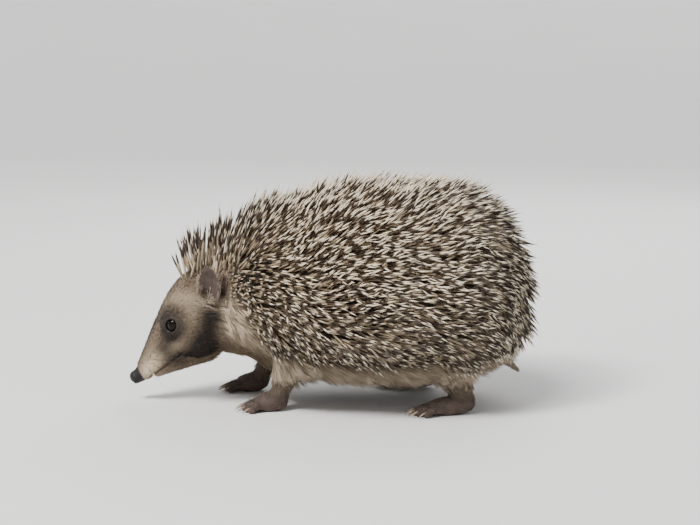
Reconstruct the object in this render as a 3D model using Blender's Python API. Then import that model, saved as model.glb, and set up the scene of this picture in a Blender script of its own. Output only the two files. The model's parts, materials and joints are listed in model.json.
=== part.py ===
"""A European hedgehog at life size, standing still with its snout lowered to the ground.

Lengths are millimetres, which MM turns into metres. The animal faces -Y, its left side is +X and its
soles stand on z = 0. The solids reach out to the tips of the coat: the spines on the back, the short
fur on the face and the longer fur along the flanks.
"""

import math

import bmesh
import bpy
import numpy as np
from mathutils import Matrix, Vector

MM = 0.001
GAP = 0.3  # clearance between neighbouring solids
LEFT, RIGHT = 1, -1

# The ends of the body and the line of its head
HEAD_PITCH = 46.0  # degrees that the snout points below level
NOSE_TIP = (-113.6, 11.0)  # (y, z)
RUMP_TIP = (115.0, 61.0)

# Head sections: distance behind the nose tip, half width, height above and depth below the head's line
HEAD_SECTIONS = (
    (0.0, 0.0, 0.0, 0.0),
    (2.5, 4.3, 4.2, 3.9),
    (8.0, 5.4, 6.1, 6.2),
    (15.0, 7.2, 8.7, 8.6),
    (23.0, 10.2, 11.9, 11.4),
    (32.0, 14.4, 15.3, 15.2),
    (42.0, 19.2, 18.6, 19.4),
    (51.0, 23.4, 20.8, 23.4),
    (58.0, 25.6, 22.6, 26.6),
    (63.0, 26.6, 29.0, 31.0),
    (68.0, 28.4, 36.2, 35.5),
)

# Neck and trunk sections: y, z, degrees of pitch, half width, height above and depth below (y, z)
BODY_SECTIONS = (
    (-57.5, 63.0, 34.0, 34.0, 40.0, 43.0),
    (-46.5, 61.0, 20.0, 43.5, 46.5, 46.0),
    (-32.0, 59.0, 8.0, 52.5, 55.5, 45.5),
    (-12.0, 58.0, 0.0, 60.5, 66.0, 45.0),
    (12.0, 58.0, 0.0, 66.0, 71.0, 46.0),
    (40.0, 58.0, 0.0, 68.0, 72.5, 46.0),
    (64.0, 58.5, 0.0, 66.0, 71.5, 46.0),
    (82.0, 59.0, 0.0, 58.0, 64.0, 43.0),
    (97.0, 60.0, 0.0, 45.0, 49.5, 35.0),
    (108.0, 61.0, 0.0, 29.0, 31.5, 24.0),
    (*RUMP_TIP, 0.0, 0.0, 0.0, 0.0),
)
RINGS_PER_SECTION = 2
RING_POINTS = 32
ROUNDNESS = {"back": 2.12, "belly": 2.6}  # 2 is an ellipse, more is squarer

# The lower edge of the spiny coat in side view, from in front of the brow to behind the rump: (y, z)
COAT_EDGE = (
    (-104.0, 63.0),
    (-89.0, 67.0),
    (-79.0, 72.0),
    (-70.0, 75.0),
    (-62.0, 72.0),
    (-55.0, 60.0),
    (-48.0, 47.5),
    (-38.0, 38.5),
    (-20.0, 32.5),
    (5.0, 29.5),
    (40.0, 27.5),
    (80.0, 28.5),
    (130.0, 32.0),
)

# Cuts across the body in side view: y where the cut leaves the coat's edge, and its foot (y, z)
HEAD_CUT = (-58.5, (-47.0, 22.0))
NECK_CUT = (-41.0, (-27.0, 2.0))

# The mouth and nose, in the head's own terms: distance behind the nose tip and height over its line
NOSE_DEPTH = 5.6
MOUTH = ((10.5, -4.7), (20.0, -6.3), (30.0, -8.0), (37.0, -8.6))
LIP_OVERHANG = 4.5  # the upper lip runs this far in front of the lower jaw

EYE = {"behind_nose": 43.5, "above_line": 6.8, "out": 15.4, "radius": 4.3}

EAR = {
    "behind_nose": 69.0,
    "above_line": 4.0,
    "out": 26.5,
    "half_height": 11.5,
    "half_width": 8.4,
    "cup": 2.8,
    "thickness": 1.3,
    "sunk": 2.5,
}
EAR_UP = Vector((0.42, 0.16, 0.89))  # the left ear's long axis
EAR_FACING = Vector((0.76, -0.64, -0.12))  # the way its hollow looks
# the hollow round each ear: half width, half height and half depth, and how far up and forward it lies
EAR_CLEARING = {"radii": (10.5, 12.5, 9.0), "up": 2.2, "forward": 4.6}

TAIL = {"root": (95.0, 32.0), "tip": (108.0, 17.0), "root_radius": 4.4, "tip_radius": 1.6}

# Limbs on each side: where the limb leaves the trunk, its ankle or wrist, and the foot that it stands on
FORE_FOOT = {
    "sole": (10.5, 7.4, 5.6),
    "digits": 5,
    "fan": 27.0,
    "digit_length": 7.2,
    "digit_radius": 2.4,
    "claw_length": 6.4,
    "claw_radius": 1.25,
}
HIND_FOOT = {
    "sole": (15.0, 6.8, 5.4),
    "digits": 5,
    "fan": 20.0,
    "digit_length": 8.4,
    "digit_radius": 2.4,
    "claw_length": 6.4,
    "claw_radius": 1.2,
}
LIMBS = (
    # name, side, foot, hip (x, y, z), joint (x, y, z), upper and lower radius, foot centre (x, y), toe-out
    ("fore", LEFT, FORE_FOOT, (25.0, -20.0, 34.0), (26.0, -29.0, 10.5), 10.0, 6.4, (26.5, -34.0), 6.0),
    ("fore", RIGHT, FORE_FOOT, (24.0, -27.0, 34.0), (25.0, -42.0, 10.5), 10.0, 6.4, (25.5, -47.5), 6.0),
    ("hind", LEFT, HIND_FOOT, (33.0, 58.0, 40.0), (35.0, 74.0, 10.5), 15.0, 6.2, (36.0, 66.0), 12.0),
    ("hind", RIGHT, HIND_FOOT, (33.0, 50.0, 40.0), (34.5, 56.0, 10.5), 15.0, 6.2, (35.5, 48.0), 12.0),
)
SOLE_HEIGHT = 4.4  # of the foot's middle over the ground
LIMB_SIDES = 10
DIGIT_SIDES = 5

FINISHES = {
    # name: (linear colour, roughness)
    "spines": ((0.30, 0.22, 0.14), 0.45),
    "flank_fur": ((0.33, 0.24, 0.15), 0.85),
    "face_fur": ((0.26, 0.18, 0.11), 0.85),
    "nose_skin": ((0.012, 0.010, 0.010), 0.25),
    "ear_skin": ((0.16, 0.11, 0.08), 0.7),
    "eye": ((0.006, 0.005, 0.005), 0.05),
    "foot_skin": ((0.13, 0.09, 0.065), 0.6),
}


# ---------------------------------------------------------------- scene, materials and cuts


def clear_scene():
    for thing in list(bpy.data.objects):
        bpy.data.objects.remove(thing)


def make_material(name):
    colour, roughness = FINISHES[name]
    finish = bpy.data.materials.new(name)
    finish.use_nodes = True
    shader = finish.node_tree.nodes["Principled BSDF"]
    shader.inputs["Base Color"].default_value = (*colour, 1.0)
    shader.inputs["Roughness"].default_value = roughness
    shader.inputs["Metallic"].default_value = 0.0
    return finish


def add_object(name, mesh, finish=None, parent=None):
    thing = bpy.data.objects.new(name, mesh)
    bpy.context.scene.collection.objects.link(thing)
    if finish is not None:
        mesh.materials.append(finish)
    thing.parent = parent
    return thing


def as_tool(thing):
    """Marks a cutter, which shapes its neighbours and isn't part of the animal."""
    thing.hide_render = True
    thing.display_type = "WIRE"
    return thing


def combine(thing, tool, operation):
    step = thing.modifiers.new(f"{operation.lower()}_{tool.name}", "BOOLEAN")
    step.operation = operation
    step.object = tool
    return thing


# ---------------------------------------------------------------- shapes


def smooth_values(knots, values, places):
    """Values between the knots on a cubic that keeps each stretch within its two ends."""
    knots, values = np.asarray(knots, float), np.asarray(values, float)
    step = np.diff(knots)
    rise = np.diff(values) / step
    slope = np.empty_like(values)
    slope[0], slope[-1] = rise[0], rise[-1]
    for i in range(1, len(knots) - 1):
        before, after = rise[i - 1], rise[i]
        if before * after <= 0:
            slope[i] = 0.0
        else:
            w1, w2 = 2 * step[i] + step[i - 1], step[i] + 2 * step[i - 1]
            slope[i] = (w1 + w2) / (w1 / before + w2 / after)
    i = np.clip(np.searchsorted(knots, places, side="right") - 1, 0, len(step) - 1)
    t = (places - knots[i]) / step[i]
    return (
        values[i] * (1 + 2 * t) * (1 - t) ** 2
        + slope[i] * step[i] * t * (1 - t) ** 2
        + values[i + 1] * t * t * (3 - 2 * t)
        + slope[i + 1] * step[i] * t * t * (t - 1)
    )


def mesh_from_rings(name, rings, start_point=None, end_point=None, grow=0.0):
    """A closed skin over rings of points, ending in a point or a flat cap, and pushed out by grow."""
    shape = bmesh.new()
    loops = [[shape.verts.new(Vector(p) * MM) for p in ring] for ring in rings]
    count = len(loops[0])
    for near, far in zip(loops, loops[1:]):
        for i in range(count):
            j = (i + 1) % count
            shape.faces.new((near[i], near[j], far[j], far[i]))
    for loop, point in ((loops[0], start_point), (loops[-1], end_point)):
        if point is None:
            shape.faces.new(loop)
            continue
        pole = shape.verts.new(Vector(point) * MM)
        for i in range(count):
            shape.faces.new((loop[i], loop[(i + 1) % count], pole))
    bmesh.ops.recalc_face_normals(shape, faces=shape.faces)
    shape.normal_update()
    pushes = [vert.normal * vert.calc_shell_factor() * grow * MM for vert in shape.verts]
    for vert, push in zip(shape.verts, pushes):
        vert.co += push
    mesh = bpy.data.meshes.new(name)
    shape.to_mesh(mesh)
    shape.free()
    mesh.shade_smooth()
    return mesh


def head_place(behind, above, out=0.0):
    """The point this far behind the nose tip, above the head's line and out to the left."""
    pitch = math.radians(HEAD_PITCH)
    y = NOSE_TIP[0] + behind * math.cos(pitch) - above * math.sin(pitch)
    z = NOSE_TIP[1] + behind * math.sin(pitch) + above * math.cos(pitch)
    return Vector((out, y, z))


def body_sections():
    """Every section as (y, z, pitch, half width, up, down), from the nose tip to the rump."""
    head = []
    for behind, width, up, down in HEAD_SECTIONS:
        centre = head_place(behind, 0.0)
        head.append((centre.y, centre.z, HEAD_PITCH, width, up, down))
    return np.array([*head, *BODY_SECTIONS])


def body_mesh(name, grow=0.0):
    """The whole body from nose to rump, out to the tips of its coat, with grow added all round."""
    sections = body_sections()
    path = np.concatenate([[0], np.cumsum(np.linalg.norm(np.diff(sections[:, :2], axis=0), axis=1))])
    steps = np.arange(1, (len(path) - 1) * RINGS_PER_SECTION) / RINGS_PER_SECTION
    places = np.interp(steps, np.arange(len(path)), path)
    y, z, pitch = (smooth_values(path, sections[:, k], places) for k in range(3))
    # squared radii run straight into the two end points, which rounds them off
    width, up, down = (
        np.sqrt(smooth_values(path, sections[:, k] ** 2, places)) for k in range(3, 6)
    )
    rings = []
    for i in range(len(places)):
        tilt = math.radians(pitch[i])
        belly = min(1.0, max(0.0, (y[i] + 60.0) / 30.0))  # the head's underside stays round
        lower = ROUNDNESS["back"] + (ROUNDNESS["belly"] - ROUNDNESS["back"]) * belly
        above = Vector((0.0, -math.sin(tilt), math.cos(tilt)))
        ring = []
        for k in range(RING_POINTS):
            angle = math.tau * k / RING_POINTS
            side, rise = math.sin(angle), math.cos(angle)
            power = 2 / (ROUNDNESS["back"] if rise > 0 else lower)
            side = math.copysign(abs(side) ** power, side)
            rise = math.copysign(abs(rise) ** power, rise)
            reach = up[i] if rise > 0 else down[i]
            ring.append(Vector((side * width[i], y[i], z[i])) + above * rise * reach)
        rings.append(ring)
    return mesh_from_rings(name, rings, head_place(0.0, 0.0), (0.0, *RUMP_TIP), grow)


def prism(name, outline):
    """A tool wider than the body whose side view is this outline of (y, z) points."""
    half = 100.0
    rings = [[(x, y, z) for y, z in outline] for x in (-half, half)]
    return as_tool(add_object(name, mesh_from_rings(name, rings)))


def tube_mesh(name, points, radii, sides, squash=1.0):
    """A round limb through the points, with rounded ends. squash flattens it from above."""
    points = [Vector(p) for p in points]
    rings = []
    for i, (point, radius) in enumerate(zip(points, radii)):
        along = (points[min(i + 1, len(points) - 1)] - points[max(i - 1, 0)]).normalized()
        across = along.orthogonal() if abs(along.z) > 0.95 else along.cross(Vector((0, 0, 1)))
        across.normalize()
        over = across.cross(along)
        ring = []
        for k in range(sides):
            angle = math.tau * k / sides
            ring.append(
                point + across * math.cos(angle) * radius + over * math.sin(angle) * radius * squash
            )
        rings.append(ring)
    start = points[0] + (points[0] - points[1]).normalized() * radii[0] * 0.6
    end = points[-1] + (points[-1] - points[-2]).normalized() * radii[-1] * 0.6
    return mesh_from_rings(name, rings, start, end)


def ball_mesh(name, centre, radii, turn=0.0, segments=16, rings=9):
    """An ellipsoid, turned about the vertical."""
    shape = bmesh.new()
    bmesh.ops.create_uvsphere(shape, u_segments=segments, v_segments=rings, radius=MM)
    place = (
        Matrix.Translation(Vector(centre) * MM)
        @ Matrix.Rotation(turn, 4, "Z")
        @ Matrix.Diagonal((*radii, 1.0))
    )
    bmesh.ops.transform(shape, matrix=place, verts=shape.verts)
    mesh = bpy.data.meshes.new(name)
    shape.to_mesh(mesh)
    shape.free()
    mesh.shade_smooth()
    return mesh


# ---------------------------------------------------------------- the body, parted by thin cuts


def edge_line(start, end, offset):
    """(y, z) along the coat's edge, this far above it."""
    y, z = np.array(COAT_EDGE).T
    fine_y = np.linspace(y[0], y[-1], 4 * len(y))
    fine_z = smooth_values(y, z, fine_y)
    places = [start, *(place for place in fine_y if start < place < end), end]
    return [(float(place), float(np.interp(place, fine_y, fine_z)) + offset) for place in places]


def head_outline(*points):
    """(y, z) of points given in the head's own terms."""
    return [tuple(head_place(behind, above).yz) for behind, above in points]


def make_body(finishes, parent):
    """The spiny coat, head, lower jaw, nose, neck and trunk: one body, cut along its natural edges."""
    top, floor, front, back = 200.0, -40.0, -160.0, 160.0
    half = GAP / 2
    coat_start, coat_end = COAT_EDGE[0][0], COAT_EDGE[-1][0]
    (head_y, head_foot), (neck_y, neck_foot) = HEAD_CUT, NECK_CUT
    brow = head_outline((NOSE_DEPTH + GAP, 40.0))[0]
    lip = (MOUTH[0][0] - LIP_OVERHANG, MOUTH[0][1])
    jaw_back = MOUTH[-1][0]
    outlines = {
        "spine_coat": [*edge_line(coat_start, coat_end, half), (back, top), (front, top)],
        "nose": [
            *head_outline((NOSE_DEPTH, 40.0), (NOSE_DEPTH, -40.0)),
            (front, floor),
            (front, top),
        ],
        "head": [
            brow,
            *edge_line(coat_start, head_y - half, -half),
            (head_foot[0] - half, head_foot[1]),
            *head_outline((jaw_back + GAP, -45.0), (jaw_back + GAP, MOUTH[-1][1] + half)),
            *head_outline(*((s, h + half) for s, h in reversed(MOUTH[:-1]))),
            *head_outline((lip[0], lip[1] + half), (lip[0], -30.0), (NOSE_DEPTH + GAP, -30.0)),
        ],
        "lower_jaw": [
            *head_outline(*((s, h - half) for s, h in MOUTH)),
            *head_outline((jaw_back, -45.0), (MOUTH[0][0], -45.0)),
        ],
        "neck": [
            *edge_line(head_y + half, neck_y - half, -half),
            (neck_foot[0] - half, neck_foot[1]),
            (head_foot[0] + half, neck_foot[1]),
            (head_foot[0] + half, head_foot[1]),
        ],
        "trunk": [
            *edge_line(neck_y + half, coat_end, -half),
            (back, floor),
            (neck_foot[0] + half, floor),
            (neck_foot[0] + half, neck_foot[1]),
        ],
    }
    looks = {
        "spine_coat": "spines",
        "nose": "nose_skin",
        "head": "face_fur",
        "lower_jaw": "face_fur",
        "neck": "flank_fur",
        "trunk": "flank_fur",
    }
    made = {}
    for name, outline in outlines.items():
        piece = add_object(name, body_mesh(name), finishes[looks[name]], parent)
        made[name] = combine(piece, prism(f"{name}_outline", outline), "INTERSECT")
    return made


# ---------------------------------------------------------------- eyes, ears and tail


def make_eyes(finishes, parent, head):
    for side, word in ((LEFT, "left"), (RIGHT, "right")):
        centre = head_place(EYE["behind_nose"], EYE["above_line"], side * EYE["out"])
        ball = ball_mesh(f"eye_{word}", centre, [EYE["radius"]] * 3)
        add_object(f"eye_{word}", ball, finishes["eye"], parent)
        socket_size = [EYE["radius"] + GAP] * 3
        socket = ball_mesh(f"eye_socket_{word}", centre, socket_size)
        combine(head, as_tool(add_object(f"eye_socket_{word}", socket)), "DIFFERENCE")


def ear_frame(side):
    """The middle of the ear's rim and the ear's own axes: across, up and the way it faces."""
    mirror = Vector((side, 1.0, 1.0))
    up = (EAR_UP * mirror).normalized()
    facing = EAR_FACING * mirror
    facing = (facing - up * facing.dot(up)).normalized()
    root = head_place(EAR["behind_nose"], EAR["above_line"], side * EAR["out"])
    return root + up * (EAR["half_height"] - EAR["sunk"]), up.cross(facing), up, facing


def clear_round_ear(side, word, pieces, shrink):
    """Opens a hollow in these pieces of the coat, in which the ear stands free down to its root."""
    centre, across, up, facing = ear_frame(side)
    wide, tall, deep = (radius - shrink for radius in EAR_CLEARING["radii"])
    centre = centre + up * EAR_CLEARING["up"] + facing * EAR_CLEARING["forward"]
    name = f"ear_clearing_{word}_{'room' if shrink else 'coat'}"
    axes = Matrix((across * wide, up * tall, facing * deep)).transposed().to_4x4()
    ball = ball_mesh(name, (0, 0, 0), (1, 1, 1))
    ball.transform(Matrix.Translation(centre * MM) @ axes)
    tool = as_tool(add_object(name, ball))
    for piece in pieces:
        combine(piece, tool, "DIFFERENCE")


def make_ear(side, word, finish, parent, body_tool):
    """A cupped, round-tipped dish, cut off where it leaves the coat."""
    centre, across, up, facing = ear_frame(side)
    rings, spokes = 4, 20
    shape = bmesh.new()
    middle = shape.verts.new((centre - facing * EAR["cup"]) * MM)
    loops = []
    for r in range(1, rings + 1):
        share = r / rings
        loop = []
        for k in range(spokes):
            angle = math.tau * k / spokes
            rise, wide = math.sin(angle), math.cos(angle)
            narrowing = 1.0 - 0.16 * rise
            point = (
                centre
                + up * rise * share * EAR["half_height"]
                + across * wide * share * EAR["half_width"] * narrowing
                - facing * EAR["cup"] * (1 - share**2)
            )
            loop.append(shape.verts.new(point * MM))
        loops.append(loop)
    for k in range(spokes):
        shape.faces.new((middle, loops[0][k], loops[0][(k + 1) % spokes]))
    for near, far in zip(loops, loops[1:]):
        for k in range(spokes):
            j = (k + 1) % spokes
            shape.faces.new((near[k], far[k], far[j], near[j]))
    bmesh.ops.recalc_face_normals(shape, faces=shape.faces)
    mesh = bpy.data.meshes.new(f"ear_{word}")
    shape.to_mesh(mesh)
    shape.free()
    mesh.shade_smooth()
    ear = add_object(f"ear_{word}", mesh, finish, parent)
    wall = ear.modifiers.new("wall", "SOLIDIFY")
    wall.thickness = EAR["thickness"] * MM
    wall.offset = 0.0
    combine(ear, body_tool, "DIFFERENCE")


def make_tail(finish, parent, body_tool):
    (root_y, root_z), (tip_y, tip_z) = TAIL["root"], TAIL["tip"]
    points = [
        (0.0, root_y + (tip_y - root_y) * t, root_z + (tip_z - root_z) * t - 2.0 * math.sin(math.pi * t))
        for t in np.linspace(0, 1, 6)
    ]
    radii = np.linspace(TAIL["root_radius"], TAIL["tip_radius"], 6)
    tail = add_object("tail", tube_mesh("tail", points, radii, 12), finish, parent)
    combine(tail, body_tool, "DIFFERENCE")


# ---------------------------------------------------------------- limbs


def digit_mesh(name, root, heading, foot):
    """One toe with its claw: a round toe that arches forward and a curved claw that comes down again."""
    forward = Vector((math.sin(heading), -math.cos(heading), 0.0))
    toe, claw = foot["digit_length"], foot["claw_length"]
    thick, fine = foot["digit_radius"], foot["claw_radius"]
    profile = (
        # distance forward, height over the ground, radius
        (-4.0, 3.4, thick),
        (0.0, 3.6, thick),
        (0.55 * toe, 2.9, thick * 0.98),
        (toe, 2.1, thick * 0.92),
        (toe + 1.2, 2.6, thick * 0.6),
        (toe + 1.5, 2.9, fine),
        (toe + 0.55 * claw, 2.8, fine * 0.8),
        (toe + claw, 0.9, fine * 0.35),
    )
    points = [Vector(root) + forward * reach + Vector((0, 0, height)) for reach, height, _ in profile]
    return tube_mesh(name, points, [radius for *_, radius in profile], DIGIT_SIDES)


def make_limb(limb, finishes, parent, body_tool, ground):
    kind, side, foot, hip, joint, upper, lower, (foot_x, foot_y), toe_out = limb
    word = "left" if side == LEFT else "right"
    hip, joint = (Vector((side * x, y, z)) for x, y, z in (hip, joint))
    heading = side * math.radians(toe_out)
    long, wide, high = foot["sole"]

    # the leg bulges at its middle and ends just over the foot
    points = [hip.lerp(joint, t) for t in (0.0, 0.35, 0.7, 1.0)]
    radii = [upper, upper * 0.94, (upper + lower) / 2, lower]
    leg_name = f"{kind}leg_{word}"
    leg = add_object(
        leg_name, tube_mesh(leg_name, points, radii, LIMB_SIDES), finishes["flank_fur"], parent
    )

    foot_name = f"{kind}foot_{word}"
    middle = Vector((side * foot_x, foot_y, SOLE_HEIGHT))
    sole = ball_mesh(foot_name, middle, (wide, long, high), turn=-heading)
    paw = add_object(foot_name, sole, finishes["foot_skin"], parent)
    forward = Vector((math.sin(heading), -math.cos(heading), 0.0))
    across = Vector((math.cos(heading), math.sin(heading), 0.0))
    spread = math.radians(foot["fan"])
    for k in range(foot["digits"]):
        share = 2 * k / (foot["digits"] - 1) - 1  # -1 at one side of the foot, 1 at the other
        reach = long * (0.80 - 0.28 * share**2)
        root = middle + forward * reach + across * share * wide * 0.72
        root.z = 0.0
        digit = digit_mesh(f"{foot_name}_digit_{k + 1}", root, heading + spread * share, foot)
        combine(paw, as_tool(add_object(f"{foot_name}_digit_{k + 1}", digit)), "UNION")
    combine(paw, ground, "DIFFERENCE")

    ankle = ball_mesh(f"{foot_name}_room", middle, (wide + GAP, long + GAP, high + GAP), turn=-heading)
    combine(leg, as_tool(add_object(f"{foot_name}_room", ankle)), "DIFFERENCE")
    combine(leg, body_tool, "DIFFERENCE")


def main():
    clear_scene()
    finishes = {name: make_material(name) for name in FINISHES}
    hedgehog = bpy.data.objects.new("hedgehog", None)
    bpy.context.scene.collection.objects.link(hedgehog)

    body = make_body(finishes, hedgehog)
    make_eyes(finishes, hedgehog, body["head"])
    body_tool = as_tool(add_object("body_room", body_mesh("body_room", grow=GAP)))
    for side, word in ((LEFT, "left"), (RIGHT, "right")):
        clear_round_ear(side, word, [body["head"], body["spine_coat"]], 0.0)
        clear_round_ear(side, word, [body_tool], GAP)
        make_ear(side, word, finishes["ear_skin"], hedgehog, body_tool)
    make_tail(finishes["flank_fur"], hedgehog, body_tool)

    ground = prism("ground", [(-160.0, 0.0), (160.0, 0.0), (160.0, -30.0), (-160.0, -30.0)])
    for limb in LIMBS:
        make_limb(limb, finishes, hedgehog, body_tool, ground)


main()
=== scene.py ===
"""The looks of the hedgehog: one skin, its spines and fur, eyes, claws and whiskers, on a pale floor.

Lengths are millimetres until a mesh is made, and MM turns them into metres. The animal faces -Y and
its left side is +X.
"""

import json
import math

import bpy
import numpy as np
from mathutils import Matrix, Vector
from mathutils.bvhtree import BVHTree
from numpy.random import default_rng


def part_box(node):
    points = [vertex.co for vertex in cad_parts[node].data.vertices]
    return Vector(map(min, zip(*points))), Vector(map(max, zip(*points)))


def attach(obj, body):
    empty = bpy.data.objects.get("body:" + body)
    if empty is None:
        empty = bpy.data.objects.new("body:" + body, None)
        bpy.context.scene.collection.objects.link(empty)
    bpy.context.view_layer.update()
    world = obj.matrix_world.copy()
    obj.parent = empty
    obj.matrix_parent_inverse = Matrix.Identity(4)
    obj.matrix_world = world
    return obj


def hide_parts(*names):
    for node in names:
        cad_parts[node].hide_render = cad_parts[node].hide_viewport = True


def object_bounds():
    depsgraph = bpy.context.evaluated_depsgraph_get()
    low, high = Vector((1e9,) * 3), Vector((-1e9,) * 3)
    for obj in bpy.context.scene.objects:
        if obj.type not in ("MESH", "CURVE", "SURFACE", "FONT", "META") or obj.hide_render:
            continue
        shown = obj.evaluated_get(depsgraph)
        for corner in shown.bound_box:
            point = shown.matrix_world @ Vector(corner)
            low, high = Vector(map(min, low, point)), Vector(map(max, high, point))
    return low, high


MM = 0.001
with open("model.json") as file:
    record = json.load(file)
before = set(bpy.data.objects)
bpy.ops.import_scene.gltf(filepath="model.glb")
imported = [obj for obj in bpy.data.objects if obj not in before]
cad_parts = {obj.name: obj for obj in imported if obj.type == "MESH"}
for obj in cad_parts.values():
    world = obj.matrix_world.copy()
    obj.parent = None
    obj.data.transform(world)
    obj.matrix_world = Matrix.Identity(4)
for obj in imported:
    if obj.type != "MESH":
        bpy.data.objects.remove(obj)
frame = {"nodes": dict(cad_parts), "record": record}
CAD_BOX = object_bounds()


def vec(*numbers):
    """The numbers side by side: one vector, or a row for each point."""
    return np.stack(np.broadcast_arrays(*numbers), -1).astype(float)


def size_of(v):
    """The length of the vector, or of every row of vectors."""
    return np.linalg.norm(v, axis=-1)


def unit(v):
    """The vector, or every row of vectors, at length 1."""
    return v / np.maximum(size_of(v), 1e-9)[..., None]


def node_box(name):
    low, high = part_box(name)
    return np.array(low) / MM, np.array(high) / MM


# ---- landmarks, read from the frame

EYE_BACK, EYE_UP = 43.5, 6.8  # the eye's place behind the nose tip and over the head's line
HEAD_PITCH = math.radians(46.0)
HEAD_BACK = vec(0, math.cos(HEAD_PITCH), math.sin(HEAD_PITCH))
HEAD_UP = vec(0, -math.sin(HEAD_PITCH), math.cos(HEAD_PITCH))
EYE_SOLID = sum(node_box("eye_left")) / 2
NOSE_TIP = EYE_SOLID * vec(0, 1, 1) - HEAD_BACK * EYE_BACK - HEAD_UP * EYE_UP
EAR_MIDDLE = sum(node_box("ear_left")) / 2
SOLES = {m["name"][5:]: np.array(m["pos_m"]) / MM for m in frame["record"]["mounts"]}
REAR = node_box("spine_coat")[1][1]
BODY_NODES = ("spine_coat", "trunk", "neck")

# ---- form: distances and how they join


def ramp(low, high, value):
    """Rises smoothly from 0 at low to 1 at high."""
    t = np.clip((value - low) / (high - low), 0.0, 1.0)
    return t * t * (3 - 2 * t)


def smooth_min(a, b, k):
    """The union of two forms, with a fillet about k wide."""
    h = np.maximum(k - np.abs(a - b), 0.0) / k
    return np.minimum(a, b) - h * h * k * 0.25


def smooth_max(a, b, k):
    return -smooth_min(-a, -b, k)


def ellipsoid(p, centre, radii):
    q = p - centre
    outer, inner = size_of(q / radii), size_of(q / np.square(radii))
    return outer * (outer - 1.0) / np.maximum(inner, 1e-6)


def limb(p, start, end, start_radius, end_radius):
    """A round bar from start to end, whose radius changes along it."""
    along, q = np.subtract(end, start), p - start
    t = np.clip(q @ along / (along @ along), 0.0, 1.0)
    return size_of(q - t[..., None] * along) - (start_radius + (end_radius - start_radius) * t)


def smooth_curve(knots, values, places):
    """Values between the knots on a cubic that keeps each stretch within its two ends."""
    step = np.diff(knots)
    rise = np.diff(values) / step
    slope = np.concatenate([rise[:1], np.zeros(len(knots) - 2), rise[-1:]])
    for i in range(1, len(knots) - 1):
        before, after = rise[i - 1], rise[i]
        if before * after > 0:
            w1, w2 = 2 * step[i] + step[i - 1], step[i] + 2 * step[i - 1]
            slope[i] = (w1 + w2) / (w1 / before + w2 / after)
    i = np.clip(np.searchsorted(knots, places, side="right") - 1, 0, len(step) - 1)
    t = (places - knots[i]) / step[i]
    return (
        values[i] * (1 + 2 * t) * (1 - t) ** 2
        + slope[i] * step[i] * t * (1 - t) ** 2
        + values[i + 1] * t * t * (3 - 2 * t)
        + slope[i + 1] * step[i] * t * t * (t - 1)
    )


class Loft:
    """A body along a line, from sections of half width, height above and depth below the line."""

    def __init__(self, sections, roundness, soften):
        knots, *sizes = np.array(sections, float).T
        self.places = np.linspace(knots[0], knots[-1], 400)
        self.roundness = roundness
        wide, up, down = (self.profile(knots, size, soften) for size in sizes)
        self.sizes = wide, up, down, np.minimum(wide, (up + down) / 2)

    def profile(self, knots, sizes, soften):
        """The sizes along the line. Their squares are joined up, which rounds the two ends."""
        squares = smooth_curve(knots, sizes**2, self.places)
        spread = soften / (self.places[1] - self.places[0])
        reach = np.arange(-3 * spread, 3 * spread + 1)
        bell = np.exp(-((reach / spread) ** 2) / 2)
        squares = np.convolve(np.pad(squares, len(reach)), bell / bell.sum(), "same")
        return np.sqrt(np.maximum(squares[len(reach) : -len(reach)], 0.09))

    def distance(self, along, side, rise):
        start, end = self.places[[0, -1]]
        wide, up, down, scale = (np.interp(along, self.places, size) for size in self.sizes)
        reach = np.where(rise > 0, up, down)
        e = self.roundness
        share = (np.abs(side / wide) ** e + np.abs(rise / reach) ** e) ** (1 / e)
        inside = (share - 1.0) * scale
        past = np.maximum(np.maximum(start - along, along - end), 0.0)
        return np.where(past > 0, np.hypot(past, np.maximum(inside, 0.0)), inside)


def groove(form, distance, depth, width):
    """Sinks a soft groove into the form, along the places where the distance is 0."""
    return form + depth * np.exp(-((distance / width) ** 2))


# ---- form: the trunk, under its coat

TRUNK_LEVEL = 56.0  # height of the trunk's line
# y, and the coat's depth on the back, along the flank and under the belly
COAT_DEPTHS = (
    (-38.0, 13.0, 9.0, 5.5),
    (-20.0, 13.5, 10.0, 6.0),
    (5.0, 13.5, 10.5, 6.0),
    (35.0, 13.5, 10.5, 6.0),
    (62.0, 13.5, 10.5, 6.0),
    (82.0, 13.0, 10.5, 7.0),
    (97.0, 12.5, 10.5, 8.0),
)
TRUNK_FRONT = ((-70.0, 0.0, 0.0, 0.0), (-56.0, 29.0, 33.0, 20.0))
TRUNK_END = (REAR - 8.0, 0.0, 0.0, 0.0)


def measured_sections():
    """The trunk's sections: the solids' outline, less the depth of the coat."""
    corners, faces = [], []
    for name in BODY_NODES:
        mesh = frame["nodes"][name].data
        first = len(corners)
        corners += [v.co / MM for v in mesh.vertices]
        faces += [[first + i for i in f.vertices] for f in mesh.polygons]
    solid = BVHTree.FromPolygons(corners, faces)

    def outline(start, way):
        return solid.ray_cast(Vector(start), Vector(way))[0]

    sections = []
    for y, back, flank, belly in COAT_DEPTHS:
        top = outline((0, y, 300), (0, 0, -1)).z
        bottom = outline((0, y, -100), (0, 0, 1)).z
        side = outline((200, y, TRUNK_LEVEL), (-1, 0, 0)).x
        sections.append((y, side - flank, top - back - TRUNK_LEVEL, TRUNK_LEVEL - bottom - belly))
    return sections


TRUNK = Loft([*TRUNK_FRONT, *measured_sections(), TRUNK_END], roundness=2.2, soften=4.0)


def trunk_form(p):
    return TRUNK.distance(p[:, 1], p[:, 0], p[:, 2] - TRUNK_LEVEL)


# ---- form: the head

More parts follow.
